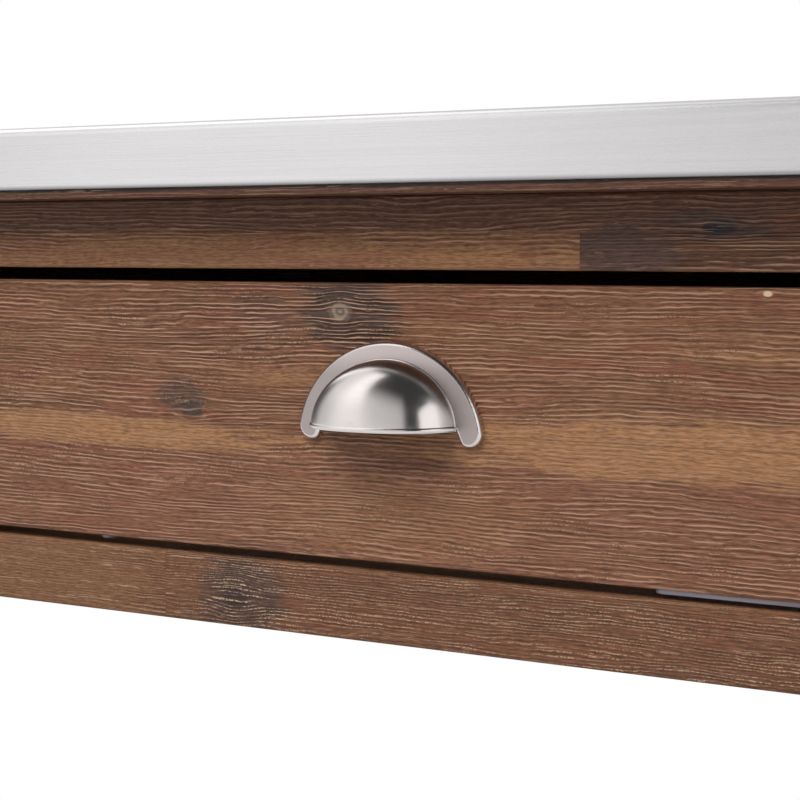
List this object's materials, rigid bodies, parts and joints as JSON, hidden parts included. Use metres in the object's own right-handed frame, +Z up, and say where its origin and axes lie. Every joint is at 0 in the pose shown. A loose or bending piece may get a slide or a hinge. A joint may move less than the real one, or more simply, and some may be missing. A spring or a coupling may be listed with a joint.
{
  "type": "kitchen cart",
  "caption": "Rolling kitchen cart with a steel-skinned worktop, wood frame, flush drawers with cup pulls on telescopic slides, slatted shelves, towel bar and swivel casters.",
  "frame": {"origin": "middle of the footprint, on the floor", "axes": "+X along the cart to the right, -Y towards the drawer side, +Z up"},
  "size_m": [1.27, 0.508, 0.914],
  "materials": {
    "stainless_steel": "brushed",
    "brushed_acacia": "wire-brushed, satin",
    "drawer_plywood": "matt",
    "satin_nickel": "satin",
    "zinc_steel": "plated",
    "grey_rubber": "matt"
  },
  "bodies": {
    "cart": {"back_apron": "brushed_acacia", "caster_stems": "zinc_steel", "centre_runner_beam": "brushed_acacia", "centre_stile": "brushed_acacia", "end_apron_left": "brushed_acacia", "end_apron_right": "brushed_acacia", "front_lower_rail": "brushed_acacia", "front_upper_rail": "brushed_acacia", "left_slide_outer": "zinc_steel", "leg_back_left": "brushed_acacia", "leg_back_right": "brushed_acacia", "leg_front_left": "brushed_acacia", "leg_front_right": "brushed_acacia", "low_shelf_end_rails": "brushed_acacia", "low_shelf_long_rails": "brushed_acacia", "low_shelf_slats": "brushed_acacia", "mid_shelf_end_rails": "brushed_acacia", "mid_shelf_long_rails": "brushed_acacia", "mid_shelf_slats": "brushed_acacia", "right_slide_outer": "zinc_steel", "runner_battens": "drawer_plywood", "steel_top": "stainless_steel", "top_brackets": "zinc_steel", "top_core": "brushed_acacia", "towel_bar": "satin_nickel", "towel_bar_posts": "satin_nickel"},
    "left_drawer": {"left_drawer_back": "drawer_plywood", "left_drawer_bottom": "drawer_plywood", "left_drawer_front": "brushed_acacia", "left_drawer_left_wall": "drawer_plywood", "left_drawer_pull": "satin_nickel", "left_drawer_pull_screws": "satin_nickel", "left_drawer_right_wall": "drawer_plywood", "left_slide_inner": "zinc_steel"},
    "left_slide_members": {"left_slide_middle": "zinc_steel", "left_slide_ball_cages": "zinc_steel"},
    "right_drawer": {"right_drawer_back": "drawer_plywood", "right_drawer_bottom": "drawer_plywood", "right_drawer_front": "brushed_acacia", "right_drawer_left_wall": "drawer_plywood", "right_drawer_pull": "satin_nickel", "right_drawer_pull_screws": "satin_nickel", "right_drawer_right_wall": "drawer_plywood", "right_slide_inner": "zinc_steel"},
    "right_slide_members": {"right_slide_middle": "zinc_steel", "right_slide_ball_cages": "zinc_steel"},
    "front_left_swivel": {"caster_front_left_fork": "zinc_steel", "caster_front_left_axle": "zinc_steel"},
    "front_left_wheel": {"caster_front_left_wheel": "grey_rubber"},
    "front_left_brake": {"caster_front_left_brake_pedal": "zinc_steel"},
    "front_right_swivel": {"caster_front_right_fork": "zinc_steel", "caster_front_right_axle": "zinc_steel"},
    "front_right_wheel": {"caster_front_right_wheel": "grey_rubber"},
    "front_right_brake": {"caster_front_right_brake_pedal": "zinc_steel"},
    "back_left_swivel": {"caster_back_left_fork": "zinc_steel", "caster_back_left_axle": "zinc_steel"},
    "back_left_wheel": {"caster_back_left_wheel": "grey_rubber"},
    "back_right_swivel": {"caster_back_right_fork": "zinc_steel", "caster_back_right_axle": "zinc_steel"},
    "back_right_wheel": {"caster_back_right_wheel": "grey_rubber"}
  },
  "joints": [
    {"name": "left_drawer_slide", "type": "slide", "parent": "cart", "child": "left_drawer", "axis": [0, -1, 0], "range_m": [0, 0.33]},
    {"name": "left_middle_slide", "type": "slide", "parent": "cart", "child": "left_slide_members", "axis": [0, -1, 0], "range_m": [0, 0.165]},
    {"name": "right_drawer_slide", "type": "slide", "parent": "cart", "child": "right_drawer", "axis": [0, -1, 0], "range_m": [0, 0.33]},
    {"name": "right_middle_slide", "type": "slide", "parent": "cart", "child": "right_slide_members", "axis": [0, -1, 0], "range_m": [0, 0.165]},
    {"name": "front_left_swivel_turn", "type": "hinge", "parent": "cart", "child": "front_left_swivel", "pos_m": [-0.5565, -0.1985, 0.09], "axis": [0, 0, 1], "continuous": true},
    {"name": "front_left_wheel_spin", "type": "hinge", "parent": "front_left_swivel", "child": "front_left_wheel", "pos_m": [-0.5845, -0.1985, 0.0375], "axis": [0, 1, 0], "continuous": true},
    {"name": "front_left_brake_pedal_press", "type": "hinge", "parent": "front_left_swivel", "child": "front_left_brake", "pos_m": [-0.6035, -0.1985, 0.076], "axis": [0, -1, 0], "range_deg": [0, 22]},
    {"name": "front_right_swivel_turn", "type": "hinge", "parent": "cart", "child": "front_right_swivel", "pos_m": [0.5565, -0.1985, 0.09], "axis": [0, 0, 1], "continuous": true},
    {"name": "front_right_wheel_spin", "type": "hinge", "parent": "front_right_swivel", "child": "front_right_wheel", "pos_m": [0.5845, -0.1985, 0.0375], "axis": [0, 1, 0], "continuous": true},
    {"name": "front_right_brake_pedal_press", "type": "hinge", "parent": "front_right_swivel", "child": "front_right_brake", "pos_m": [0.6035, -0.1985, 0.076], "axis": [0, 1, 0], "range_deg": [0, 22]},
    {"name": "back_left_swivel_turn", "type": "hinge", "parent": "cart", "child": "back_left_swivel", "pos_m": [-0.5565, 0.1985, 0.09], "axis": [0, 0, 1], "continuous": true},
    {"name": "back_left_wheel_spin", "type": "hinge", "parent": "back_left_swivel", "child": "back_left_wheel", "pos_m": [-0.5845, 0.1985, 0.0375], "axis": [0, 1, 0], "continuous": true},
    {"name": "back_right_swivel_turn", "type": "hinge", "parent": "cart", "child": "back_right_swivel", "pos_m": [0.5565, 0.1985, 0.09], "axis": [0, 0, 1], "continuous": true},
    {"name": "back_right_wheel_spin", "type": "hinge", "parent": "back_right_swivel", "child": "back_right_wheel", "pos_m": [0.5845, 0.1985, 0.0375], "axis": [0, 1, 0], "continuous": true}
  ],
  "couplings": [
    {"joint": "left_middle_slide", "follows": "left_drawer_slide", "ratio": 0.5},
    {"joint": "right_middle_slide", "follows": "right_drawer_slide", "ratio": 0.5}
  ]
}
